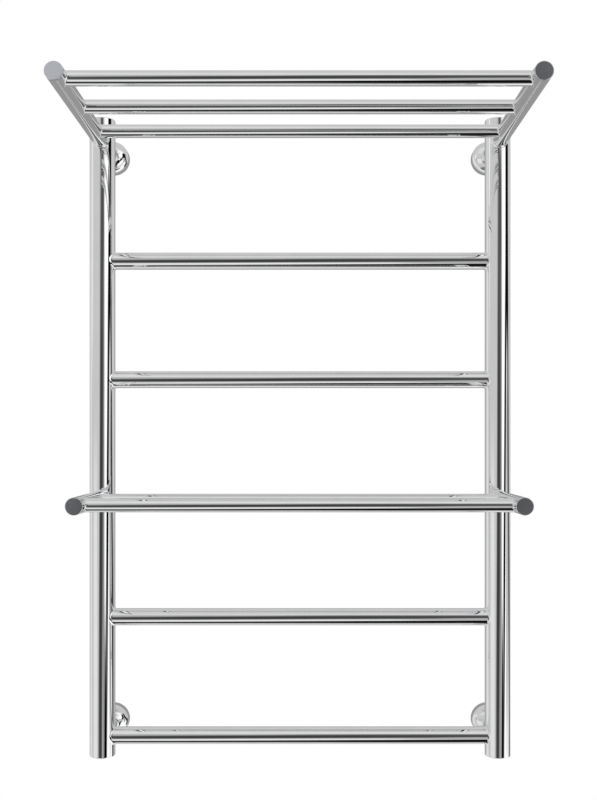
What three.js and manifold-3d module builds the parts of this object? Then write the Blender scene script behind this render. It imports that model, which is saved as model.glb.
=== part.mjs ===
// A wall-hung ladder towel rail of polished stainless tube. Four rungs join two uprights, an upper
// shelf of three rods and a lower shelf of two rods stand forward on arms, and four brackets with
// cup-shaped rosettes hold it to the wall. Hot water enters and leaves through the uprights' feet.
//
// Frame: millimetres, +Z up. The wall is the plane y = 0 and the rail faces -Y. The origin lies on
// the wall, midway between the two lower brackets.
import * as THREE from "three";
import { mergeVertices } from "three/addons/utils/BufferGeometryUtils.js";
import Module from "manifold-3d";

// ---- Driving dimensions -------------------------------------------------------------------------
const CENTRES = 500; // between the axes of the two uprights
const WALL_DISTANCE = 80; // from the wall to the axes of the uprights
const RUNG_LEVELS = [0, 150, 450, 600];
const SHELF_LEVEL = 750;
const LOWER_SHELF_LEVEL = 300;
const ROD_OFFSETS = [47, 137, 227]; // rods in front of the uprights' axes; the lower shelf has two
const SHELF_REACH = 250; // end of an upper arm, in front of the uprights' axes
const LOWER_SHELF_REACH = 160;

const UPRIGHT = { outer: 16, inner: 14 }; // radii of the tubes; a passage lets water into a rung
const RUNG = { outer: 10.65, inner: 9.15, passage: 8.15 };
const ARM = { outer: 10, inner: 8.5 };
const ROD = { outer: 8, inner: 7 };
const UPRIGHT_FOOT = -25; // lowest point of the uprights
const UPRIGHT_HEAD = 775; // top of the upright's tube, below its cap
const GAP = 0.3; // between pieces that touch or are welded

const SPIGOT_RADIUS = 6;
const SPIGOT_END = 12; // all lengths in the brackets are measured from the wall
const FOOT = { flange: 17, flangeDepth: 4, boss: 9, depth: 21.5, floor: 5 };
const WALL_SCREW = { hole: 3.2, countersink: 5.5, countersinkDepth: 2.3 };
const ROSETTE = { rim: 21, side: 12, neck: 9.5, shoulder: 24, depth: 29.3, wall: 1, lip: 1.3 };
const RING = { centre: 7.35, section: 1, place: 26.7 };
const SET_SCREW = { radius: 2.5, length: 5, place: 18, key: 2.5, keyDepth: 2.5 };

const CAP = { depth: 3, skirt: 6, bore: 4.9, counterbore: 6.8, counterboreDepth: 1.9 };
const VENT_SCREW = { shank: 4.6, head: 6.5, headDepth: 1.6, length: 12, key: 5, keyDepth: 3 };
const BUSH = { collar: 13, skirt: 8, bore: 9.3 };
const ARM_CAP = { depth: 3, skirt: 5 };

// ---- Materials ----------------------------------------------------------------------------------
const finish = (color, roughness, metalness) =>
  new THREE.MeshStandardMaterial({ color, roughness, metalness });
const polishedSteel = () => finish(0xd4d6d8, 0.06, 1);
const facedSteel = () => finish(0x8c8f93, 0.22, 1);
const turnedSteel = () => finish(0xa7a9ab, 0.35, 1);
const screwSteel = () => finish(0x5c5f62, 0.3, 1);
const ringRubber = () => finish(0x17181a, 0.8, 0);

// ---- Shapes -------------------------------------------------------------------------------------
const wasm = await Module();
wasm.setup();

// One shared vertex per corner, and no triangle that has collapsed to a line.
function closed(geometry) {
  geometry.deleteAttribute("normal");
  geometry.deleteAttribute("uv");
  const merged = mergeVertices(geometry, 1e-4);
  const index = merged.getIndex().array;
  const kept = [];
  for (let i = 0; i < index.length; i += 3) {
    const [a, b, c] = index.slice(i, i + 3);
    if (a !== b && b !== c && c !== a) kept.push(a, b, c);
  }
  merged.setIndex(kept);
  return merged;
}

function solid(geometry) {
  const surface = closed(geometry);
  const vertProperties = new Float32Array(surface.getAttribute("position").array);
  const triVerts = new Uint32Array(surface.getIndex().array);
  return new wasm.Manifold(new wasm.Mesh({ numProp: 3, vertProperties, triVerts }));
}

function surfaceOf(body) {
  const mesh = body.getMesh();
  const geometry = new THREE.BufferGeometry();
  geometry.setAttribute("position", new THREE.BufferAttribute(mesh.vertProperties, 3));
  geometry.setIndex(new THREE.BufferAttribute(mesh.triVerts, 1));
  return geometry;
}

// Turns a shape whose axis is +Y so that the axis points along x, z or out from the wall.
const AIM = {
  x: (geometry) => geometry.rotateZ(-Math.PI / 2),
  z: (geometry) => geometry.rotateX(Math.PI / 2),
  out: (geometry) => geometry.rotateX(Math.PI),
};

// A profile of [radius, distance along the axis] points, given anticlockwise, revolved.
function turned(profile, axis, sides) {
  const points = profile.map(([radius, along]) => new THREE.Vector2(radius, along));
  return AIM[axis](new THREE.LatheGeometry(points, sides));
}

const bar = (radius, from, to, axis, sides = 28) =>
  solid(turned([[0, from], [radius, from], [radius, to], [0, to]], axis, sides));

function tube({ outer, inner }, from, to, axis, sides = 28) {
  const profile = [[inner, from], [outer, from], [outer, to], [inner, to], [inner, from]];
  return solid(turned(profile, axis, sides));
}

// A hexagonal key socket, measured across its flats.
const keySocket = (acrossFlats, from, to) => bar(acrossFlats / Math.sqrt(3), from, to, "z", 6);

// ---- Welded frame -------------------------------------------------------------------------------
// An upright with a hole opposite each rung; the rungs are on its +X side.
function upright() {
  let body = tube(UPRIGHT, UPRIGHT_FOOT + BUSH.collar + GAP, UPRIGHT_HEAD, "z", 32);
  for (const level of RUNG_LEVELS) {
    const hole = bar(RUNG.passage, 0, 2 * UPRIGHT.outer, "x", 20);
    body = body.subtract(hole.translate([0, 0, level]));
  }
  return surfaceOf(body);
}

// A tube from side to side, its ends coped to fit round what it meets at both ends.
function crossTube(section, metRadius, metAxis) {
  const half = CENTRES / 2;
  let body = tube(section, -half, half, "x");
  for (const side of [-half, half]) {
    const met = bar(metRadius + GAP, -2 * metRadius, 2 * metRadius, metAxis);
    body = body.subtract(met.translate([side, 0, 0]));
  }
  return surfaceOf(body);
}

// An arm leaves the upright's axis line and ends just behind its cap.
function arm(reach) {
  const body = tube(ARM, 0, reach - ARM_CAP.depth - GAP, "out");
  return surfaceOf(body.subtract(bar(UPRIGHT.outer + GAP, -2 * ARM.outer, 2 * ARM.outer, "z")));
}

// A disc welded on a tube's end, with a skirt that centres it inside.
function armCap(reach) {
  const front = reach;
  const back = reach - ARM_CAP.depth;
  const skirt = ARM.inner - GAP;
  const profile = [
    [0, back - ARM_CAP.skirt], [skirt, back - ARM_CAP.skirt], [skirt, back],
    [ARM.outer, back], [ARM.outer, front], [0, front],
  ];
  return turned(profile, "out", 20);
}

function topCap() {
  const skirt = UPRIGHT.inner - GAP;
  const seat = UPRIGHT_HEAD + GAP;
  const top = UPRIGHT_HEAD + CAP.depth;
  const step = top - CAP.counterboreDepth;
  const profile = [
    [CAP.bore, seat - CAP.skirt], [skirt, seat - CAP.skirt], [skirt, seat],
    [UPRIGHT.outer, seat], [UPRIGHT.outer, top], [CAP.counterbore, top],
    [CAP.counterbore, step], [CAP.bore, step], [CAP.bore, seat - CAP.skirt],
  ];
  return turned(profile, "z", 28);
}

// The air vent's screw, flush with the cap, turned with a key.
function ventScrew() {
  const top = UPRIGHT_HEAD + CAP.depth;
  const under = top - VENT_SCREW.headDepth;
  const profile = [
    [0, top - VENT_SCREW.length], [VENT_SCREW.shank, top - VENT_SCREW.length],
    [VENT_SCREW.shank, under], [VENT_SCREW.head, under], [VENT_SCREW.head, top], [0, top],
  ];
  const body = solid(turned(profile, "z", 30));
  return surfaceOf(body.subtract(keySocket(VENT_SCREW.key, top - VENT_SCREW.keyDepth, top + 1)));
}

// The threaded water connection that closes the upright's foot.
function connectionBush() {
  const skirt = UPRIGHT.inner - GAP;
  const shoulder = UPRIGHT_FOOT + BUSH.collar;
  const head = shoulder + BUSH.skirt;
  const profile = [
    [BUSH.bore, UPRIGHT_FOOT], [UPRIGHT.outer, UPRIGHT_FOOT], [UPRIGHT.outer, shoulder],
    [skirt, shoulder], [skirt, head], [BUSH.bore, head], [BUSH.bore, UPRIGHT_FOOT],
  ];
  return turned(profile, "z", 28);
}

// ---- Wall brackets: every shape is drawn from its centre on the wall -----------------------------
// A bar welded to the back of the upright, which slides in the wall foot.
function spigot() {
  const body = bar(SPIGOT_RADIUS, SPIGOT_END, WALL_DISTANCE, "out", 24);
  const coping = bar(UPRIGHT.outer + GAP, -2 * SPIGOT_RADIUS, 2 * SPIGOT_RADIUS, "z");
  return surfaceOf(body.subtract(coping.translate([0, -WALL_DISTANCE, 0])));
}

// A turned socket on a round plate. A screw through its floor holds it to the wall.
function wallFoot() {
  const { flange, flangeDepth, boss, depth, floor } = FOOT;
  const bore = SPIGOT_RADIUS + GAP;
  const profile = [
    [WALL_SCREW.hole, 0], [flange, 0], [flange, flangeDepth], [boss, flangeDepth], [boss, depth],
    [bore, depth], [bore, floor], [WALL_SCREW.countersink, floor],
    [WALL_SCREW.hole, floor - WALL_SCREW.countersinkDepth], [WALL_SCREW.hole, 0],
  ];
  const tapped = bar(SET_SCREW.radius + GAP, -2 * boss, 0, "z", 20);
  const body = solid(turned(profile, "out", 20));
  return surfaceOf(body.subtract(tapped.translate([0, -SET_SCREW.place, 0])));
}

// Pinches the spigot from below, inside the rosette.
function setScrew() {
  const tip = -(SPIGOT_RADIUS + GAP);
  const end = tip - SET_SCREW.length;
  const body = bar(SET_SCREW.radius, end, tip, "z", 20);
  return surfaceOf(body.subtract(keySocket(SET_SCREW.key, end - 1, end + SET_SCREW.keyDepth)));
}

// A cup pressed from sheet: rim on the wall, straight side, elliptical shoulder, and a short neck
// with a turned-in lip.
function rosette() {
  const { rim, side, neck, shoulder, depth, wall, lip } = ROSETTE;
  const cup = (inset) => {
    const points = [];
    const steps = 5;
    for (let i = 0; i <= steps; i += 1) {
      const angle = (i / steps) * (Math.PI / 2);
      const radius = neck + (rim - neck) * Math.cos(angle) - inset;
      points.push([radius, side + (shoulder - side - inset) * Math.sin(angle)]);
    }
    return points;
  };
  const bore = SPIGOT_RADIUS + GAP;
  const profile = [
    [rim - wall, GAP], [rim, GAP], ...cup(0), [neck, depth], [bore, depth], [bore, depth - lip],
    [neck - wall, depth - lip], ...cup(wall).reverse(), [rim - wall, GAP],
  ];
  return turned(profile, "out", 20);
}

// An elastic ring in the neck, which grips the spigot.
function gripRing() {
  const points = [];
  const steps = 8;
  for (let i = 0; i <= steps; i += 1) {
    const angle = (i / steps) * 2 * Math.PI;
    const radius = RING.centre + RING.section * Math.cos(angle);
    points.push([radius, RING.place + RING.section * Math.sin(angle)]);
  }
  return turned(points, "out", 14);
}

// ---- Assembly -----------------------------------------------------------------------------------
const towelRail = new THREE.Group();

function add(parent, name, geometry, material, [x, y, z] = [0, 0, 0]) {
  const mesh = new THREE.Mesh(geometry, material);
  mesh.name = name;
  mesh.position.set(x, y, z);
  parent.add(mesh);
  return mesh;
}

// The frame's group stands in the plane of the uprights' axes.
const frame = new THREE.Group();
frame.position.y = -WALL_DISTANCE;
towelRail.add(frame);

const SIDES = { left: -CENTRES / 2, right: CENTRES / 2 };
for (const [side, x] of Object.entries(SIDES)) {
  const post = add(frame, `upright_${side}`, upright(), polishedSteel(), [x, 0, 0]);
  post.rotation.z = side === "right" ? Math.PI : 0;
  add(frame, `top_cap_${side}`, topCap(), polishedSteel(), [x, 0, 0]);
  add(frame, `vent_screw_${side}`, ventScrew(), polishedSteel(), [x, 0, 0]);
  add(frame, `connection_bush_${side}`, connectionBush(), turnedSteel(), [x, 0, 0]);
  add(frame, `shelf_arm_${side}`, arm(SHELF_REACH), polishedSteel(), [x, 0, SHELF_LEVEL]);
  add(frame, `shelf_arm_cap_${side}`, armCap(SHELF_REACH), facedSteel(), [x, 0, SHELF_LEVEL]);
  const low = [x, 0, LOWER_SHELF_LEVEL];
  add(frame, `lower_arm_${side}`, arm(LOWER_SHELF_REACH), polishedSteel(), low);
  add(frame, `lower_arm_cap_${side}`, armCap(LOWER_SHELF_REACH), facedSteel(), low);
}

RUNG_LEVELS.forEach((level, i) => {
  const shape = crossTube(RUNG, UPRIGHT.outer, "z");
  add(frame, `rung_${i + 1}`, shape, polishedSteel(), [0, 0, level]);
});

const rod = () => crossTube(ROD, ARM.outer, "out");
["rear", "middle", "front"].forEach((place, i) => {
  add(frame, `shelf_rod_${place}`, rod(), polishedSteel(), [0, -ROD_OFFSETS[i], SHELF_LEVEL]);
});
["rear", "front"].forEach((place, i) => {
  add(frame, `lower_rod_${place}`, rod(), polishedSteel(), [0, -ROD_OFFSETS[i], LOWER_SHELF_LEVEL]);
});

// One bracket at the lowest rung's level and one at the shelf's level on each side.
const HEIGHTS = { lower: RUNG_LEVELS[0], upper: SHELF_LEVEL };
for (const [height, z] of Object.entries(HEIGHTS)) {
  for (const [side, x] of Object.entries(SIDES)) {
    const bracket = new THREE.Group();
    bracket.position.set(x, 0, z);
    towelRail.add(bracket);
    const place = `${height}_${side}`;
    add(bracket, `spigot_${place}`, spigot(), polishedSteel());
    add(bracket, `wall_foot_${place}`, wallFoot(), turnedSteel());
    add(bracket, `set_screw_${place}`, setScrew(), screwSteel(), [0, -SET_SCREW.place, 0]);
    add(bracket, `rosette_${place}`, rosette(), polishedSteel());
    add(bracket, `grip_ring_${place}`, gripRing(), ringRubber());
  }
}

export default towelRail;
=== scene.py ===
"""A wall-hung ladder towel rail of polished stainless tube, with an upper and a lower rod shelf."""

import math

import bpy
import numpy as np
from mathutils import Matrix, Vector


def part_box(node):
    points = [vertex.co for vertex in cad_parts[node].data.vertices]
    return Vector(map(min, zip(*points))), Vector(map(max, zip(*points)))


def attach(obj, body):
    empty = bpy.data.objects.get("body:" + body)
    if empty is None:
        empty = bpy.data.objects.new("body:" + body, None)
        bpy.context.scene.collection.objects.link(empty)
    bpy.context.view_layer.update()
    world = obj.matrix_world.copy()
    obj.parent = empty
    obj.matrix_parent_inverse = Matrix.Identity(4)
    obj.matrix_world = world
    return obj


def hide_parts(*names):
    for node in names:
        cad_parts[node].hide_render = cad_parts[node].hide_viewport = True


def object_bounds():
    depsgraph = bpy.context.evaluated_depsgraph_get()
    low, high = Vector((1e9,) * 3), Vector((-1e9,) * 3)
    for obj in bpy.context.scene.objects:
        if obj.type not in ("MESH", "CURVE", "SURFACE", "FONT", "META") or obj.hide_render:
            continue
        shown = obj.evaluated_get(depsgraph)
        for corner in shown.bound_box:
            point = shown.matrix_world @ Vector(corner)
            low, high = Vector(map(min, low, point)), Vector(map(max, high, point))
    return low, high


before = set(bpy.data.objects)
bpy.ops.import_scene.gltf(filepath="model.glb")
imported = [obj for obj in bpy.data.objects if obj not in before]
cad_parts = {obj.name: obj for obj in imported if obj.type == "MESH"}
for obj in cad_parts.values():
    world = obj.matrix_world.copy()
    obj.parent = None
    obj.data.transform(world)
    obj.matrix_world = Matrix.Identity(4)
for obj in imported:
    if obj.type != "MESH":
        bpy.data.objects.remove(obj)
cad_low, cad_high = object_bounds()


# ---- Uprights ------------------------------------------------------------------------------------
# Two lengths of 32 mm stainless tube, mirror polished along their length. Everything else is welded
# to them, and the hot water runs through them. Their ends are closed by the caps and bushes below.
MM = 0.001
SIDES = ("left", "right")
WELD_GAP = 0.3 * MM  # the CAD solids of welded pieces stand this far apart
UPRIGHT_WALL = 2 * MM
ROUND = 128  # columns round the uprights
CREASE = math.radians(30)  # faces that meet at more than this are not shaded as one


def middle(node):
    """The centre of a CAD node's box, as an array."""
    low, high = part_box(node)
    return (np.array(low) + np.array(high)) / 2


def extent(node):
    """The size of a CAD node's box along x, y and z, as an array."""
    low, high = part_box(node)
    return np.array(high) - np.array(low)


def skin(name, points, loop, material):
    """A closed mesh over rings of points, points[ring, column].

    Every cell between two rings and two columns is one quad, and the columns join up. With loop the
    last ring joins the first one. Without it each end ring is filled by a fan round its mean point.
    Faces whose signed volume, the sum of a . (b x c) / 6 over their triangles, is negative are turned.
    """
    rings, columns, _ = points.shape
    index = np.arange(rings * columns).reshape(rings, columns)
    lower = index if loop else index[:-1]
    upper = np.roll(index, -1, axis=0) if loop else index[1:]
    ahead = [np.roll(row, -1, axis=1) for row in (lower, upper)]
    quads = np.stack([lower, ahead[0], ahead[1], upper], axis=-1).reshape(-1, 4)
    vertices = points.reshape(-1, 3)
    fans = np.zeros((0, 3), int)
    if not loop:
        first, last = index[0], index[-1]
        poles = np.array([points[0].mean(0), points[-1].mean(0)])
        start = np.full(columns, len(vertices))
        vertices = np.vstack([vertices, poles])
        fans = np.vstack([
            np.stack([start, np.roll(first, -1), first], axis=-1),
            np.stack([start + 1, last, np.roll(last, -1)], axis=-1),
        ])
    triangles = np.vstack([quads[:, [0, 1, 2]], quads[:, [0, 2, 3]], fans])
    a, b, c = (vertices[triangles[:, k]] for k in range(3))
    if np.einsum("ij,ij->", a, np.cross(b, c)) < 0:
        quads, fans = quads[:, ::-1], fans[:, ::-1]
    mesh = bpy.data.meshes.new(name)
    mesh.vertices.add(len(vertices))
    mesh.vertices.foreach_set("co", vertices.astype(np.float32).ravel())
    corners = np.concatenate([quads.ravel(), fans.ravel()])
    mesh.loops.add(len(corners))
    mesh.loops.foreach_set("vertex_index", corners.astype(np.int32))
    totals = np.concatenate([np.full(len(quads), 4), np.full(len(fans), 3)])
    mesh.polygons.add(len(totals))
    mesh.polygons.foreach_set("loop_start", (np.cumsum(totals) - totals).astype(np.int32))
    mesh.polygons.foreach_set("loop_total", totals.astype(np.int32))
    mesh.polygons.foreach_set("use_smooth", np.ones(len(totals), bool))
    mesh.update(calc_edges=True)
    mesh.set_sharp_from_angle(angle=CREASE)
    mesh.materials.append(material)
    piece = bpy.data.objects.new(name, mesh)
    bpy.context.scene.collection.objects.link(piece)
    return piece


def stand_in(piece, node, body):
    """The piece is shown in place of the CAD node of that name, on that body."""
    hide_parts(node)
    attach(piece, body)


AXES = {"x": np.eye(3)[[0, 1, 2]], "y": np.eye(3)[[1, 2, 0]], "z": np.eye(3)[[2, 0, 1]]}


def turned(outline, centre, axis, columns=ROUND):
    """Rings of a turned shape: each outline point (radius, place along the axis) goes once round.

    Point = centre + place * axis + radius * (cos(angle) * second axis + sin(angle) * third axis).
    """
    along, across, up = AXES[axis]
    radius, place = np.array(outline, float).T[:, :, None, None]
    angle = np.linspace(0, 2 * np.pi, columns, endpoint=False)[None, :, None]
    circle = np.cos(angle) * across + np.sin(angle) * up
    return np.asarray(centre) + place * along + radius * circle


def noise(nodes, links, vector, scale, detail):
    """A noise texture's node, read at that vector."""
    texture = nodes.new("ShaderNodeTexNoise")
    texture.inputs["Scale"].default_value = scale
    texture.inputs["Detail"].default_value = detail
    links.new(vector, texture.inputs["Vector"])
    return texture


def spread(nodes, links, value, low, high):
    """A noise's value, most of which lies between 0.3 and 0.7, spread over low to high."""
    rescale = nodes.new("ShaderNodeMapRange")
    rescale.inputs["From Min"].default_value = 0.3
    rescale.inputs["From Max"].default_value = 0.7
    rescale.inputs["To Min"].default_value = low
    rescale.inputs["To Max"].default_value = high
    links.new(value, rescale.inputs["Value"])
    return rescale.outputs["Result"]


def polished_steel(grain):
    """Mirror-polished stainless steel, with a buffing grain along one axis.

    The grain is noise stretched forty times along that axis. It makes the roughness vary a little and
    lays very shallow hairlines. A second, slow noise varies the colour and lays faint waves.
    """
    material = bpy.data.materials.new("polished_steel_" + grain)
    material.use_nodes = True
    nodes, links = material.node_tree.nodes, material.node_tree.links
    shader = nodes["Principled BSDF"]
    shader.inputs["Metallic"].default_value = 1.0
    place = nodes.new("ShaderNodeTexCoord").outputs["Object"]
    stretch = nodes.new("ShaderNodeMapping")
    stretch.inputs["Scale"].default_value = [1 / 40 if a == grain else 1 for a in "xyz"]
    links.new(place, stretch.inputs["Vector"])
    hairline = noise(nodes, links, stretch.outputs["Vector"], scale=2600, detail=3)
    cloud = noise(nodes, links, place, scale=34, detail=3)
    rough = spread(nodes, links, hairline.outputs["Fac"], low=0.012, high=0.036)
    links.new(rough, shader.inputs["Roughness"])
    tint = nodes.new("ShaderNodeMix")
    tint.data_type = "RGBA"
    tint.inputs["A"].default_value = (0.80, 0.805, 0.815, 1)
    tint.inputs["B"].default_value = (0.88, 0.88, 0.885, 1)
    links.new(cloud.outputs["Fac"], tint.inputs["Factor"])
    links.new(tint.outputs["Result"], shader.inputs["Base Color"])
    lines = nodes.new("ShaderNodeBump")
    lines.inputs["Strength"].default_value = 0.02
    lines.inputs["Distance"].default_value = 0.01 * MM
    links.new(hairline.outputs["Fac"], lines.inputs["Height"])
    waves = nodes.new("ShaderNodeBump")
    waves.inputs["Strength"].default_value = 0.03
    waves.inputs["Distance"].default_value = 0.02 * MM
    links.new(cloud.outputs["Fac"], waves.inputs["Height"])
    links.new(lines.outputs["Normal"], waves.inputs["Normal"])
    links.new(waves.outputs["Normal"], shader.inputs["Normal"])
    return material


STEEL_ALONG = {axis: polished_steel(axis) for axis in "xyz"}

for side in SIDES:
    node = "upright_" + side
    axis_line = middle(node) * (1, 1, 0)
    outer = extent(node)[0] / 2
    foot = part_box(node)[0].z - WELD_GAP
    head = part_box(node)[1].z
    inner = outer - UPRIGHT_WALL
    outline = [(inner, foot), (outer, foot), (outer, head), (inner, head)]
    post = skin("post_" + side, turned(outline, axis_line, "z"), True, STEEL_ALONG["z"])
    stand_in(post, node, "rail")


# ---- Top caps ------------------------------------------------------------------------------------
# A turned disc welded on each upright and polished flush with it. Its edge is rounded, a skirt
# centres it in the tube, and the hole in its middle takes the vent screw.
CAP_EDGE = 1.2 * MM
CAP_BORE = 4.9 * MM
CAP_COUNTERBORE = 6.8 * MM
CAP_COUNTERBORE_DEPTH = 1.9 * MM
CAP_COUNTERBORE_EDGE = 0.3 * MM
CAP_DEPTH = 3 * MM
LEAD = 0.1 * MM  # length of the flats' short end strips beside a rounded edge


def arc(radius, along, size, start, stop, steps=8):
    """Points (radius, along) + size * (cos, sin) of angles from start to stop, in degrees."""
    angle = np.radians(np.linspace(start, stop, steps + 1))
    return [(radius + size * math.cos(a), along + size * math.sin(a)) for a in angle]


def edge(radius, along, size, start, stop, steps=8):
    """An arc between two flats, with a point LEAD along the tangent before it and one after it.

    The tangent is the arc's direction (-sin, cos) at its ends. The leads keep the flats' shading flat.
    """
    points = arc(radius, along, size, start, stop, steps)
    way = math.copysign(LEAD, stop - start)
    ends = []
    for (r, u), degrees, sign in ((points[0], start, -1), (points[-1], stop, 1)):
        a = math.radians(degrees)
        ends.append((r - sign * way * math.sin(a), u + sign * way * math.cos(a)))
    return [ends[0], *points, ends[1]]


for side in SIDES:
    node = "top_cap_" + side
    low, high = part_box(node)
    outer, top = extent(node)[0] / 2, high.z
    seat = top - CAP_DEPTH
    skirt = outer - UPRIGHT_WALL - WELD_GAP
    step = top - CAP_COUNTERBORE_DEPTH
    mouth = CAP_COUNTERBORE_EDGE
    outline = [
        (CAP_BORE, low.z), (skirt, low.z), (skirt, seat), (outer, seat),
        *edge(outer - CAP_EDGE, top - CAP_EDGE, CAP_EDGE, 0, 90),
        *edge(CAP_COUNTERBORE + mouth, top - mouth, mouth, 90, 180, 4),
        (CAP_COUNTERBORE, step), (CAP_BORE, step),
    ]
    points = turned(outline, middle(node) * (1, 1, 0), "z")
    lid = skin("lid_" + side, points, True, STEEL_ALONG["x"])
    stand_in(lid, node, "rail")


# ---- Vent screws ---------------------------------------------------------------------------------
# A stainless screw with a 5 mm key socket, flush in each cap. A turn or so lets out the air that
# gathers at the top of the upright.
VENT_KEY = 5 * MM
VENT_KEY_DEPTH = 3 * MM
VENT_SHANK = 4.6 * MM
VENT_HEAD_DEPTH = 1.6 * MM
VENT_BEVEL = 0.3 * MM
VENT_COLUMNS = 96


def machined_steel(name, color, rough):
    """Stainless steel as it leaves the lathe or the screw machine: grey, with fine tool marks.

    The marks are noise under a millimetre across, in the roughness and in a shallow bump. A coarser
    noise stains the colour.
    """
    material = bpy.data.materials.new(name)
    material.use_nodes = True
    nodes, links = material.node_tree.nodes, material.node_tree.links
    shader = nodes["Principled BSDF"]
    shader.inputs["Metallic"].default_value = 1.0
    place = nodes.new("ShaderNodeTexCoord").outputs["Object"]
    marks = noise(nodes, links, place, scale=2200, detail=4)
    stain = noise(nodes, links, place, scale=160, detail=3)
    turned_finish = spread(nodes, links, marks.outputs["Fac"], low=rough - 0.06, high=rough + 0.08)
    links.new(turned_finish, shader.inputs["Roughness"])
    tint = nodes.new("ShaderNodeMix")
    tint.data_type = "RGBA"
    tint.inputs["A"].default_value = (*[0.88 * c for c in color], 1)
    tint.inputs["B"].default_value = (*[min(1.0, 1.1 * c) for c in color], 1)
    links.new(stain.outputs["Fac"], tint.inputs["Factor"])
    links.new(tint.outputs["Result"], shader.inputs["Base Color"])
    bump = nodes.new("ShaderNodeBump")
    bump.inputs["Strength"].default_value = 0.3
    bump.inputs["Distance"].default_value = 0.02 * MM
    links.new(marks.outputs["Fac"], bump.inputs["Height"])
    links.new(bump.outputs["Normal"], shader.inputs["Normal"])
    return material


SCREW_STEEL = machined_steel("screw_steel", (0.42, 0.425, 0.435), 0.28)


def hexagon_rings(flats, places, columns):
    """Rings of a hexagonal socket: radius = half the flats / cos(angle to the nearest flat's middle)."""
    angle = np.linspace(0, 2 * np.pi, columns, endpoint=False)
    from_flat = (angle + np.pi / 6) % (np.pi / 3) - np.pi / 6
    radius = flats / 2 / np.cos(from_flat)
    return [(radius, place) for place in places]


def round_rings(rings, centre, along, across, up, columns):
    """Points of rings (radius, place), each of which may differ from column to column.

    Point = centre + place * along + radius * (cos(angle) * across + sin(angle) * up).
    """
    angle = np.linspace(0, 2 * np.pi, columns, endpoint=False)
    radius = np.array([np.broadcast_to(r, columns) for r, _ in rings])[..., None]
    place = np.array([np.broadcast_to(p, columns) for _, p in rings])[..., None]
    circle = np.cos(angle)[:, None] * across + np.sin(angle)[:, None] * up
    return np.asarray(centre) + place * along + radius * circle


def socket_mouth(flats, top, depth, columns):
    """Rings of a key socket from outside in: its chamfered mouth, flat walls and drilled floor."""
    chamfer = 0.25 * MM
    corner = flats / math.sqrt(3)
    walls = hexagon_rings(flats, (top - chamfer, top - depth), columns)
    return [(corner + chamfer / 2, top), *walls, (flats / 4, top - depth - flats / 8)]


for side in SIDES:
    node = "vent_screw_" + side
    low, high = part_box(node)
    head, top = extent(node)[1] / 2, high.z
    under = top - VENT_HEAD_DEPTH
    bevel = VENT_BEVEL
    rings = [
        (VENT_SHANK - bevel, low.z), (VENT_SHANK, low.z + bevel), (VENT_SHANK, under), (head, under),
        *edge(head - bevel, top - bevel, bevel, 0, 90, 4),
        *socket_mouth(VENT_KEY, top, VENT_KEY_DEPTH, VENT_COLUMNS),
    ]
    points = round_rings(rings, middle(node) * (1, 1, 0), *AXES["z"], VENT_COLUMNS)
    screw = skin("vent_" + side, points, False, SCREW_STEEL)
    stand_in(screw, node, "vent_screw_" + side)


# ---- Water connection bushes ---------------------------------------------------------------------
# A turned bush welded in each upright's foot and polished flush outside. Inside it is cut with a
# half-inch pipe thread for the water connection.
BUSH_COLLAR = 13 * MM
BUSH_EDGE = 0.8 * MM
BUSH_SEAM = 0.03 * MM  # left between the collar and the upright above it
THREAD_PITCH = 1.814 * MM
THREAD_DEPTH = 1.162 * MM
THREAD_MINOR = 9.3 * MM
THREAD_RELIEF = 0.2 * MM  # how much wider than the thread its chamfered mouth is
THREAD_ROWS = 150


def thread(places, pitch, columns):
    """How far a thread's flank has risen, 0 to 1, at each place along the axis and each column.

    The phase is place / pitch - share of the turn. Its triangle wave 1 - |2 * phase - 1| is rounded at
    root and crest by the smooth step s * s * (3 - 2 * s).
    """
    turn = np.arange(columns) / columns
    phase = (np.asarray(places)[:, None] / pitch - turn[None, :]) % 1.0
    wave = 1 - np.abs(2 * phase - 1)
    return wave * wave * (3 - 2 * wave)


TURNED_STEEL = machined_steel("turned_steel", (0.60, 0.605, 0.615), 0.24)

for side in SIDES:
    node = "connection_bush_" + side
    low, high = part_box(node)
    outer = extent(node)[0] / 2
    shoulder = low.z + BUSH_COLLAR - BUSH_SEAM
    skirt = outer - UPRIGHT_WALL - WELD_GAP
    thread_major = THREAD_MINOR + THREAD_DEPTH
    places = np.linspace(high.z - 0.5 * MM, low.z + 0.2 * MM, THREAD_ROWS)
    rise = thread(places, THREAD_PITCH, ROUND)
    mouth = thread_major + THREAD_RELIEF - (places - low.z)
    bore = np.maximum(THREAD_MINOR + THREAD_DEPTH * rise, mouth[:, None])
    collar = [
        (thread_major + THREAD_RELIEF, low.z),
        *edge(outer - BUSH_EDGE, low.z + BUSH_EDGE, BUSH_EDGE, -90, 0, 6),
        (outer, shoulder),
    ]
    inside = [(skirt, shoulder), (skirt, high.z), (thread_major, high.z), *zip(bore, places)]
    points = round_rings(collar + inside, middle(node) * (1, 1, 0), *AXES["z"], ROUND)
    bush = skin("bush_" + side, points, True, STEEL_ALONG["z"])
    bush.data.materials.append(TURNED_STEEL)
    # The collar and its end face are polished with the upright. The threads stay as turned.
    slots = np.ones(len(bush.data.polygons), np.int32)
    slots[:(len(collar) - 1) * ROUND] = 0
    bush.data.polygons.foreach_set("material_index", slots)
    stand_in(bush, node, "rail")


# ---- Rungs ---------------------------------------------------------------------------------------
# Four lengths of half-inch tube between the uprights. Their ends are cut to a saddle that fits
# round the upright, welded all round, and the weld is polished to a small hollow fillet.
RUNG_COLUMNS = 96
FILLET_STEPS = 10
RUNG_FILLET = 2.2 * MM
RUNG_WALL = 1.5 * MM
SINK = 0.04 * MM  # how far a fillet's toe lies under the surface that it runs out on
SUPPORT = 0.5 * MM  # how far past a fillet the tube's first straight ring lies


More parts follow.
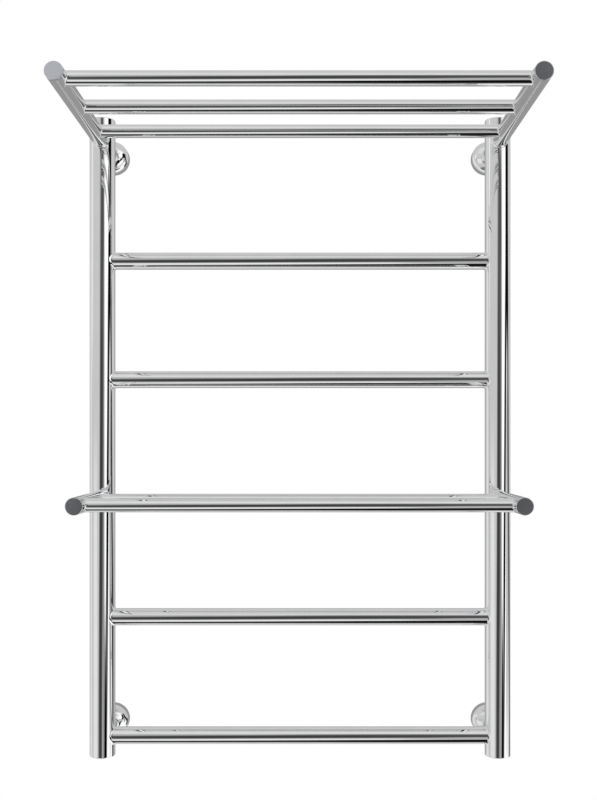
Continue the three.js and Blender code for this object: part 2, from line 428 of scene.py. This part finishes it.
def saddle(radius, met, side_sign, angle):
    """How far from the met tube's axis the ring of that radius touches it.

    The met tube's surface is sqrt(met^2 - (radius * sin(angle))^2) away from its own axis.
    """
    return side_sign * np.sqrt(met**2 - (radius * np.sin(angle)) ** 2)


def fillet_rings(radius, met, size, side_sign, angle):
    """Rings of a weld fillet, from its toe on the met tube to where it runs out on this tube.

    Each column is a quadratic curve whose corner point is the saddle: the toe is the saddle at
    radius + size, and the far end lies size along this tube.
    """
    toe = saddle(radius + size, met, side_sign, angle) - side_sign * SINK
    corner = saddle(radius, met, side_sign, angle)
    end = corner + side_sign * size
    for t in np.linspace(0, 1, FILLET_STEPS + 1):
        weights = (1 - t) ** 2, 2 * t * (1 - t), t**2
        ring = weights[0] * (radius + size) + (weights[1] + weights[2]) * radius
        yield ring, weights[0] * toe + weights[1] * corner + weights[2] * end


def coped_tube(centre, half, radius, wall, met, size, along, across, columns=RUNG_COLUMNS):
    """Points of a tube whose two ends are coped to tubes that run along `across`.

    The outer skin runs from one fillet to the other, then the bore runs back. Its ends lie inside the
    walls of the tubes that it is welded to.
    """
    angle = np.linspace(0, 2 * np.pi, columns, endpoint=False)
    inner = radius - wall
    left = list(fillet_rings(radius, met, size, 1, angle))
    right = list(fillet_rings(radius, met, size, -1, angle))
    rings = [
        *[(r, u - half) for r, u in left],
        (radius, left[-1][1] - half + SUPPORT), (radius, right[-1][1] + half - SUPPORT),
        *[(r, u + half) for r, u in reversed(right)],
        (inner, saddle(inner, met, -1, angle) + half + wall / 2),
        (inner, saddle(inner, met, 1, angle) - half - wall / 2),
    ]
    return round_rings(rings, centre, along, across, np.cross(along, across), columns)


half_width = (middle("upright_right")[0] - middle("upright_left")[0]) / 2
upright_radius = extent("upright_left")[0] / 2
X_AXIS, Y_AXIS, Z_AXIS = np.eye(3)

for number in range(1, 5):
    node = f"rung_{number}"
    radius = extent(node)[2] / 2
    points = coped_tube(middle(node), half_width, radius, RUNG_WALL, upright_radius, RUNG_FILLET,
                        X_AXIS, Z_AXIS)
    bar = skin(f"bar_{number}", points, True, STEEL_ALONG["x"])
    stand_in(bar, node, "rail")


# ---- Shelf arms ----------------------------------------------------------------------------------
# Two long arms at the top and two short ones at mid height, of 20 mm tube. Each is coped and welded
# to the front of its upright and closed at its free end by a disc.
ARM_WALL = 1.5 * MM
ARM_FILLET = 2 * MM
ARM_CAP_DEPTH = 3 * MM


def arm_tube(start, radius, reach, columns=RUNG_COLUMNS):
    """Points of a tube from an upright's axis line towards -Y, coped there and square at its end."""
    angle = np.linspace(0, 2 * np.pi, columns, endpoint=False)
    inner = radius - ARM_WALL
    near = list(fillet_rings(radius, upright_radius, ARM_FILLET, 1, angle))
    rings = [
        *near, (radius, near[-1][1] + SUPPORT), (radius, reach), (inner, reach),
        (inner, saddle(inner, upright_radius, 1, angle) - ARM_WALL / 2),
    ]
    return round_rings(rings, start, -Y_AXIS, Z_AXIS, X_AXIS, columns)


for side in SIDES:
    for shelf in ("shelf", "lower"):
        node = f"{shelf}_arm_{side}"
        start = middle(node) * (1, 0, 1) + middle("upright_" + side) * (0, 1, 0)
        reach = start[1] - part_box(f"{shelf}_arm_cap_{side}")[0].y - ARM_CAP_DEPTH
        points = arm_tube(start, extent(node)[0] / 2, reach)
        bracket = skin(f"{shelf}_bracket_{side}", points, True, STEEL_ALONG["y"])
        stand_in(bracket, node, "rail")


# ---- Arm end discs -------------------------------------------------------------------------------
# A turned disc welded in the free end of each arm. Its face is faced off and satin polished, so it
# looks greyer than the tube, and its edge is broken by a narrow polished chamfer.
DISC_EDGE = 0.7 * MM
DISC_SKIRT = 5 * MM


def faced_steel():
    """Steel faced on a lathe: satin, with rings a fraction of a millimetre apart round the arm's axis.

    Distance from the axis = length of (x, z) from the arm's centre, which differs by arm, so each
    disc gets its own material with the centre in a Mapping node.
    """
    made = {}
    for side in SIDES:
        for shelf in ("shelf", "lower"):
            material = bpy.data.materials.new(f"faced_steel_{shelf}_{side}")
            material.use_nodes = True
            nodes, links = material.node_tree.nodes, material.node_tree.links
            shader = nodes["Principled BSDF"]
            shader.inputs["Metallic"].default_value = 1.0
            shader.inputs["Base Color"].default_value = (0.66, 0.68, 0.72, 1)
            centre = nodes.new("ShaderNodeMapping")
            centre.inputs["Location"].default_value = -middle(f"{shelf}_arm_cap_{side}")
            links.new(nodes.new("ShaderNodeTexCoord").outputs["Object"], centre.inputs["Vector"])
            rings = nodes.new("ShaderNodeTexWave")
            rings.wave_type = "RINGS"
            rings.rings_direction = "Y"
            rings.inputs["Scale"].default_value = 900
            rings.inputs["Distortion"].default_value = 1.2
            rings.inputs["Detail"].default_value = 2
            links.new(centre.outputs["Vector"], rings.inputs["Vector"])
            grit = noise(nodes, links, centre.outputs["Vector"], scale=1500, detail=3)
            satin = spread(nodes, links, grit.outputs["Fac"], low=0.06, high=0.16)
            links.new(satin, shader.inputs["Roughness"])
            bump = nodes.new("ShaderNodeBump")
            bump.inputs["Strength"].default_value = 0.12
            bump.inputs["Distance"].default_value = 0.01 * MM
            links.new(rings.outputs["Fac"], bump.inputs["Height"])
            links.new(bump.outputs["Normal"], shader.inputs["Normal"])
            made[shelf, side] = material
    return made


DISC_STEEL = faced_steel()
for (shelf, side), material in DISC_STEEL.items():
    node = f"{shelf}_arm_cap_{side}"
    front = -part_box(node)[0].y
    radius = extent(node)[0] / 2
    back = front - ARM_CAP_DEPTH
    skirt = radius - ARM_WALL - WELD_GAP
    outline = [
        (skirt, back - DISC_SKIRT), (skirt, back), (radius, back),
        *edge(radius - DISC_EDGE, front - DISC_EDGE, DISC_EDGE, 0, 90, 6),
    ]
    points = turned(outline, middle(node) * (1, 0, 1), "y", RUNG_COLUMNS) * (1, -1, 1)
    disc = skin(f"{shelf}_disc_{side}", points, False, material)
    stand_in(disc, node, "rail")


# ---- Shelf rods ----------------------------------------------------------------------------------
# Three 16 mm rods across the upper arms and two across the lower ones, coped and welded between
# them as the rungs are.
ROD_WALL = 1 * MM
ROD_FILLET = 1.3 * MM
RODS = ["shelf_rod_rear", "shelf_rod_middle", "shelf_rod_front", "lower_rod_rear", "lower_rod_front"]

arm_radius = extent("shelf_arm_left")[0] / 2
for node in RODS:
    radius = extent(node)[2] / 2
    points = coped_tube(middle(node), half_width, radius, ROD_WALL, arm_radius, ROD_FILLET,
                        X_AXIS, Y_AXIS)
    bar = skin(node.replace("rod", "bar"), points, True, STEEL_ALONG["x"])
    stand_in(bar, node, "rail")


# ---- Spigots -------------------------------------------------------------------------------------
# Four 12 mm bars welded to the backs of the uprights. Each slides into a foot on the wall, which
# sets how far the rail stands off.
SPIGOT_FILLET = 1.5 * MM
SPIGOT_BEVEL = 0.8 * MM
SPIGOT_COLUMNS = 72
PLACES = [f"{height}_{side}" for height in ("lower", "upper") for side in SIDES]


def spigot_bar(start, radius, reach, columns=SPIGOT_COLUMNS):
    """Points of a bar from an upright's axis line towards +Y, coped there and bevelled at its end.

    Its hidden end is a ring of half the radius, 1 mm inside the upright's skin.
    """
    angle = np.linspace(0, 2 * np.pi, columns, endpoint=False)
    near = list(fillet_rings(radius, upright_radius, SPIGOT_FILLET, 1, angle))
    rings = [
        (radius / 2, saddle(radius / 2, upright_radius, 1, angle) - 1 * MM),
        *near, (radius, near[-1][1] + SUPPORT),
        (radius, reach - SPIGOT_BEVEL), (radius - SPIGOT_BEVEL, reach),
    ]
    return round_rings(rings, start, Y_AXIS, Z_AXIS, X_AXIS, columns)


for place in PLACES:
    node = "spigot_" + place
    side = place.split("_")[1]
    start = middle(node) * (1, 0, 1) + middle("upright_" + side) * (0, 1, 0)
    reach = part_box(node)[1].y - start[1]
    points = spigot_bar(start, extent(node)[0] / 2, reach)
    stub = skin("stub_" + place, points, False, STEEL_ALONG["y"])
    stand_in(stub, node, "rail")


# ---- Wall feet -----------------------------------------------------------------------------------
# A turned socket on a round plate, held to the wall by a countersunk screw through its floor. The
# spigot slides in it. A tapped hole in its underside takes the set screw.
FOOT_FLANGE_DEPTH = 4 * MM
FOOT_BOSS = 9 * MM
FOOT_BORE = 6.3 * MM
FOOT_FLOOR = 5 * MM
FOOT_HOLE = 3.2 * MM
FOOT_COUNTERSINK = 5.5 * MM
FOOT_COUNTERSINK_DEPTH = 2.3 * MM
FOOT_FILLET = 1 * MM
FOOT_BEVEL = 0.6 * MM
FOOT_COLUMNS = 96
SET_SCREW_TAPPING = 2.8 * MM
SET_SCREW_TAPPING_COLUMNS = 48

for place in PLACES:
    node = "wall_foot_" + place
    depth, radius = extent(node)[1], extent(node)[0] / 2
    bevel = FOOT_BEVEL
    outline = [
        (FOOT_HOLE, 0), (radius - bevel, 0), (radius, bevel),
        *edge(radius - bevel, FOOT_FLANGE_DEPTH - bevel, bevel, 0, 90, 4),
        *arc(FOOT_BOSS + FOOT_FILLET, FOOT_FLANGE_DEPTH + FOOT_FILLET, FOOT_FILLET, -90, -180, 5),
        *edge(FOOT_BOSS - bevel, depth - bevel, bevel, 0, 90, 4),
        (FOOT_BORE + bevel, depth), (FOOT_BORE, depth - bevel), (FOOT_BORE, FOOT_FLOOR),
        (FOOT_COUNTERSINK, FOOT_FLOOR), (FOOT_HOLE, FOOT_FLOOR - FOOT_COUNTERSINK_DEPTH),
    ]
    points = turned(outline, middle(node) * (1, 0, 1), "y", FOOT_COLUMNS) * (1, -1, 1)
    socket = skin("socket_" + place, points, True, TURNED_STEEL)
    stand_in(socket, node, "wall_feet")
    drill = middle("set_screw_" + place)
    hole = turned([(SET_SCREW_TAPPING, -2 * FOOT_BOSS), (SET_SCREW_TAPPING, 0)],
                  (drill[0], drill[1], middle(node)[2]), "z", SET_SCREW_TAPPING_COLUMNS)
    cutter = skin("cutter", hole, False, TURNED_STEEL)
    cut = socket.modifiers.new("tapped_hole", "BOOLEAN")
    cut.operation = "DIFFERENCE"
    cut.object = cutter
    cut.solver = "EXACT"
    drilled = bpy.data.meshes.new_from_object(
        socket.evaluated_get(bpy.context.evaluated_depsgraph_get()))
    socket.modifiers.clear()
    socket.data = drilled
    socket.data.set_sharp_from_angle(angle=CREASE)
    bpy.data.objects.remove(cutter)


# ---- Set screws ----------------------------------------------------------------------------------
# A headless M5 screw with a hexagonal socket, which pinches the spigot from below. The rosette
# hides it.
SET_SCREW_KEY = 2.5 * MM
SET_SCREW_KEY_DEPTH = 2.5 * MM
SET_SCREW_PITCH = 0.8 * MM
SET_SCREW_THREAD = 0.45 * MM
SET_SCREW_RUNOUT = 0.4 * MM  # the thread stops this far from each end
SET_SCREW_ROWS = 60
SET_SCREW_COLUMNS = 60

for place in PLACES:
    node = "set_screw_" + place
    low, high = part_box(node)
    radius = extent(node)[0] / 2
    places = np.linspace(high.z - SET_SCREW_RUNOUT, low.z + SET_SCREW_RUNOUT, SET_SCREW_ROWS)
    rise = thread(places, SET_SCREW_PITCH, SET_SCREW_COLUMNS)
    # The first two rings are the hollow of its cup point and the point's rim, which bites the spigot.
    rings = [
        (radius * 0.35, high.z - 0.5 * MM), (radius * 0.6, high.z),
        *zip(radius - SET_SCREW_THREAD * (1 - rise), places),
        (radius - SET_SCREW_THREAD, low.z),
    ]
    mouth = socket_mouth(SET_SCREW_KEY, -low.z, SET_SCREW_KEY_DEPTH, SET_SCREW_COLUMNS)
    rings += [(r, -p) for r, p in mouth]
    points = round_rings(rings, middle(node) * (1, 1, 0), *AXES["z"], SET_SCREW_COLUMNS)
    grub = skin("grub_" + place, points, False, SCREW_STEEL)
    stand_in(grub, node, "set_screw_" + place)


# ---- Grip rings ----------------------------------------------------------------------------------
# A black rubber ring in each rosette's neck. It grips the spigot, so the rosette stays where it is
# pushed.
GRIP_STEPS = 20
GRIP_COLUMNS = 96


def ring_rubber():
    """Matt black rubber with a faint bloom: noise in its colour and roughness."""
    material = bpy.data.materials.new("ring_rubber")
    material.use_nodes = True
    nodes, links = material.node_tree.nodes, material.node_tree.links
    shader = nodes["Principled BSDF"]
    place = nodes.new("ShaderNodeTexCoord").outputs["Object"]
    bloom = noise(nodes, links, place, scale=900, detail=4)
    tint = nodes.new("ShaderNodeMix")
    tint.data_type = "RGBA"
    tint.inputs["A"].default_value = (0.010, 0.010, 0.011, 1)
    tint.inputs["B"].default_value = (0.035, 0.034, 0.034, 1)
    links.new(bloom.outputs["Fac"], tint.inputs["Factor"])
    links.new(tint.outputs["Result"], shader.inputs["Base Color"])
    matt = spread(nodes, links, bloom.outputs["Fac"], low=0.6, high=0.8)
    links.new(matt, shader.inputs["Roughness"])
    return material


RUBBER = ring_rubber()
for place in PLACES:
    node = "grip_ring_" + place
    low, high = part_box(node)
    section = (high.y - low.y) / 2
    centre_radius = extent(node)[2] / 2 - section
    outline = arc(centre_radius, 0, section, 0, 360, GRIP_STEPS)[:-1]
    points = turned(outline, middle(node), "y", GRIP_COLUMNS)
    washer = skin("washer_" + place, points, True, RUBBER)
    stand_in(washer, node, "rosette_" + place)


# ---- Rosettes ------------------------------------------------------------------------------------
# A cup pressed from stainless sheet and mirror polished, which hides each wall foot. Its rim lies on
# the wall, its side is straight, and its neck slides on the spigot.
ROSETTE_SHEET = 1 * MM
ROSETTE_NECK = 9.5 * MM
ROSETTE_BORE = 6.3 * MM
ROSETTE_SIDE = 12 * MM
ROSETTE_LEAN = 16  # degrees that the dome leans inwards where it leaves the side
ROSETTE_SHOULDER = 24 * MM
ROSETTE_DOME_ROWS = 40
ROSETTE_HOLLOW = 0.8 * MM  # radius of the hollow between the dome and the neck
ROSETTE_HOLLOW_START = -112  # degrees, where the dome runs into that hollow
ROSETTE_RIM_EDGE = 0.5 * MM
ROSETTE_RIM_LIFT = 0.3 * MM  # the rim's rounded edge starts this far off the wall
ROSETTE_NECK_EDGE = 0.8 * MM
ROSETTE_BORE_EDGE = 0.3 * MM
ROSETTE_LIP = 1.3 * MM  # depth of the neck's end, in front of the grip ring


def cup(rim, inset):
    """The cup's dome, set in by the sheet's thickness: a circular arc from its side to its neck.

    Its normal turns from ROSETTE_LEAN to the mirror of that about the chord's own normal, whose angle
    is atan((rim - neck) / (shoulder - side)). Circle's radius = chord / (2 * sin(half the turn)).
    """
    across, along = rim - ROSETTE_NECK, ROSETTE_SHOULDER - ROSETTE_SIDE
    start = math.radians(ROSETTE_LEAN)
    stop = 2 * math.atan2(across, along) - start
    size = math.hypot(across, along) / (2 * math.sin((stop - start) / 2))
    angle = np.linspace(start, stop, ROSETTE_DOME_ROWS)
    radius = rim + size * (np.cos(angle) - math.cos(start)) - inset * np.cos(angle)
    place = ROSETTE_SIDE + size * (np.sin(angle) - math.sin(start)) - inset * np.sin(angle)
    return list(zip(radius, place))


for place in PLACES:
    node = "rosette_" + place
    rim, depth = extent(node)[0] / 2, -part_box(node)[0].y
    outside, inside = cup(rim, 0), cup(rim, ROSETTE_SHEET)
    turn_up, hollow, end = ROSETTE_RIM_EDGE, ROSETTE_HOLLOW, ROSETTE_NECK_EDGE
    mouth, lip = ROSETTE_BORE_EDGE, depth - ROSETTE_LIP
    outline = [
        (rim - ROSETTE_SHEET, 0.4 * MM),
        *arc(rim - turn_up, turn_up + ROSETTE_RIM_LIFT, turn_up, -90, 0, 6),
        (rim, ROSETTE_SIDE - 0.4 * MM), *outside[:-2],
        *arc(ROSETTE_NECK + hollow, ROSETTE_SHOULDER + hollow, hollow, ROSETTE_HOLLOW_START, -180, 6),
        *arc(ROSETTE_NECK - end, depth - end, end, 0, 90, 6),
        *arc(ROSETTE_BORE + mouth, depth - mouth, mouth, 90, 180, 4),
        (ROSETTE_BORE, lip), (ROSETTE_NECK - ROSETTE_SHEET, lip),
        *reversed(inside),
    ]
    points = turned(outline, middle(node) * (1, 0, 1), "y") * (1, -1, 1)
    shell = skin("shell_" + place, points, True, STEEL_ALONG["y"])
    stand_in(shell, node, "rosette_" + place)


# ---- Studio --------------------------------------------------------------------------------------
# A white studio: the rail hangs in front of white, over a pale floor. Its mirror finish shows soft
# white panels, a window with black flags round it, and the dim room on the camera's side.
CAMERA_DISTANCE = 1.276  # in front of the uprights' axes
CAMERA_HEIGHT = 0.399  # above the uprights' feet
CAMERA_RIGHT = 0.0059  # of the middle of the rail
FOCAL_PER_FRAME = 1.26  # focal length over the frame's long side
FRAME_SHIFT = (-0.00775, 0.049625)  # right and up, over the frame's long side
SENSOR = 36.0
FLOOR_DEPTH = 0.88  # below the uprights' feet

camera_data = bpy.data.cameras.new("camera")
camera_data.sensor_width = SENSOR
camera_data.lens = SENSOR * FOCAL_PER_FRAME
camera_data.shift_x, camera_data.shift_y = FRAME_SHIFT
camera = bpy.data.objects.new("camera", camera_data)
uprights_y = middle("upright_left")[1]
camera.location = (CAMERA_RIGHT, uprights_y - CAMERA_DISTANCE, cad_low.z + CAMERA_HEIGHT)
camera.rotation_euler = (math.radians(90), 0, 0)
bpy.context.scene.collection.objects.link(camera)
bpy.context.scene.camera = camera

# Panels and flags, laid one over the other on the sky that lights the room and shows in the steel.
# Each has its middle's azimuth (0 in front of the rail, 90 on its right) and elevation, its turn, its
# half width and half height, all in degrees, how soft its edge is, and its brightness.
BARE_SKY = 0.66
STUDIO_SKY = {
    "ceiling_panel": (-6, 46, 14, 50, 20, 0.7, 0.82),
    "backdrop": (180, -8, 0, 32, 36, 0.4, 0.34),
    "backdrop_foot": (180, -68, 0, 60, 7.5, 0.5, 0.9),
    "left_panel": (-56, -16, 0, 18, 15, 0.5, 0.88),
    "left_strip": (-112, -6, 0, 9, 22, 0.6, 0.88),
    "left_lamp": (-89, 15, 0, 6, 10, 0.7, 1.0),
    "right_panel": (49, 12, 8, 20, 30, 0.8, 1.25),
    "dim_room": (6, -4, 8, 20, 22, 0.7, 0.27),
    "window": (78, -38, 0, 34, 46, 0.1, 1.15),
    "window_blind": (84, -6, 0, 8, 10, 0.6, 0.35),
    "floor_under_rail": (0, -93, 0, 36, 6, 0.4, 0.25),
    "floor_on_right": (70, -80, 0, 12, 8, 0.5, 0.07),
    "window_left_flag": (36, -22, 25, 11, 11, 0.35, 0.002),
    "window_corner_flag": (58, -3, 48, 7, 18, 0.4, 0.002),
    "window_top_flag": (80, 17, 0, 16, 12, 0.35, 0.004),
    "window_right_flag": (101, -1, -42, 6.5, 15, 0.4, 0.002),
    "window_foot_flag": (18, -56, 19, 10, 33, 0.6, 0.005),
    "floor_flag": (-20, -74, 90, 9, 30, 0.4, 0.004),
    "right_corner": (118, -18, 0, 11, 13, 0.5, 0.08),
    "camera_side": (-4, -8, 36, 12, 28, 1.0, 0.05),
    "camera_side_top": (8, 16, 0, 8, 9, 0.8, 0.1),
    "picture_rail": (14, 30, 0, 30, 2.2, 0.7, 0.3),
    "dado_rail": (13, 12, -4, 10, 2.5, 0.9, 0.09),
    "floor_panel": (-5, -45, 52, 7, 17, 0.7, 0.95),
    "floor_panel_end": (12, -26, 0, 4, 14, 0.7, 0.5),
}


def panel_mask(nodes, links, azimuth, elevation, turn, half_width, half_height, softness):
    """1 inside a rounded rectangle on the sky, 0 outside it.

    The direction is turned so that the panel's middle lies at -Y, and x and z are divided by the sines
    of the half sizes. The mask falls smoothly as (x^4 + z^4)^(1/2) goes from 1 - softness to
    1 + softness, and the sky's other half, where y is not negative, is left out.
    """
    turned_to = (
        Matrix.Rotation(math.radians(azimuth), 3, "Z")
        @ Matrix.Rotation(math.radians(-elevation), 3, "X")
        @ Matrix.Rotation(math.radians(turn), 3, "Y")
    )
    facing = nodes.new("ShaderNodeMapping")
    facing.vector_type = "TEXTURE"
    facing.inputs["Rotation"].default_value = turned_to.to_euler()
    facing.inputs["Scale"].default_value = (
        math.sin(math.radians(half_width)), 1, math.sin(math.radians(half_height)))
    links.new(nodes.new("ShaderNodeTexCoord").outputs["Generated"], facing.inputs["Vector"])
    square = nodes.new("ShaderNodeVectorMath")
    square.operation = "MULTIPLY"
    flat = nodes.new("ShaderNodeVectorMath")
    flat.operation = "MULTIPLY"
    flat.inputs[1].default_value = (1, 0, 1)
    links.new(facing.outputs["Vector"], flat.inputs[0])
    links.new(flat.outputs["Vector"], square.inputs[0])
    links.new(flat.outputs["Vector"], square.inputs[1])
    size = nodes.new("ShaderNodeVectorMath")
    size.operation = "LENGTH"
    links.new(square.outputs["Vector"], size.inputs[0])
    fade = nodes.new("ShaderNodeMapRange")
    fade.interpolation_type = "SMOOTHSTEP"
    fade.inputs["From Min"].default_value = 1 + softness
    fade.inputs["From Max"].default_value = 1 - softness
    links.new(size.outputs["Value"], fade.inputs["Value"])
    parts = nodes.new("ShaderNodeSeparateXYZ")
    links.new(facing.outputs["Vector"], parts.inputs["Vector"])
    this_half = nodes.new("ShaderNodeMath")
    this_half.operation = "LESS_THAN"
    this_half.inputs[1].default_value = 0
    links.new(parts.outputs["Y"], this_half.inputs[0])
    mask = nodes.new("ShaderNodeMath")
    mask.operation = "MULTIPLY"
    links.new(fade.outputs["Result"], mask.inputs[0])
    links.new(this_half.outputs["Value"], mask.inputs[1])
    return mask.outputs["Value"]


def studio_world():
    """The sky of panels for the reflections, and plain white behind the rail for the camera."""
    world = bpy.data.worlds.new("studio")
    world.use_nodes = True
    nodes, links = world.node_tree.nodes, world.node_tree.links
    light = nodes["Background"]
    below = None
    for panel in STUDIO_SKY.values():
        mix = nodes.new("ShaderNodeMix")
        mix.inputs["A"].default_value = BARE_SKY
        mix.inputs["B"].default_value = panel[-1]
        links.new(panel_mask(nodes, links, *panel[:-1]), mix.inputs["Factor"])
        if below:
            links.new(below, mix.inputs["A"])
        below = mix.outputs["Result"]
    links.new(below, light.inputs["Strength"])
    light.inputs["Color"].default_value = (1, 1, 1, 1)
    white = nodes.new("ShaderNodeBackground")
    white.inputs["Color"].default_value = (1, 1, 1, 1)
    seen = nodes.new("ShaderNodeMixShader")
    links.new(nodes.new("ShaderNodeLightPath").outputs["Is Camera Ray"], seen.inputs["Fac"])
    links.new(light.outputs["Background"], seen.inputs[1])
    links.new(white.outputs["Background"], seen.inputs[2])
    links.new(seen.outputs["Shader"], nodes["World Output"].inputs["Surface"])
    return world


bpy.context.scene.world = studio_world()
bpy.context.scene.view_settings.view_transform = "Standard"


def floor_paint():
    """Pale grey paint with a soft sheen."""
    material = bpy.data.materials.new("floor_paint")
    material.use_nodes = True
    shader = material.node_tree.nodes["Principled BSDF"]
    shader.inputs["Base Color"].default_value = (0.86, 0.86, 0.85, 1)
    shader.inputs["Roughness"].default_value = 0.6
    return material


# The floor reaches back as far as it can without coming into the camera's frame. The steel doesn't
# reflect it, because panels stand for it there.
FLOOR_EDGES = {"x": (-3, 3), "y": (-4, 2.1)}
corners = [(x, y, cad_low.z - FLOOR_DEPTH) for x in FLOOR_EDGES["x"] for y in FLOOR_EDGES["y"]]
floor_mesh = bpy.data.meshes.new("floor")
floor_mesh.from_pydata(corners, [], [(0, 2, 3, 1)])
floor_mesh.materials.append(floor_paint())
floor = bpy.data.objects.new("floor", floor_mesh)
floor.visible_glossy = False
bpy.context.scene.collection.objects.link(floor)
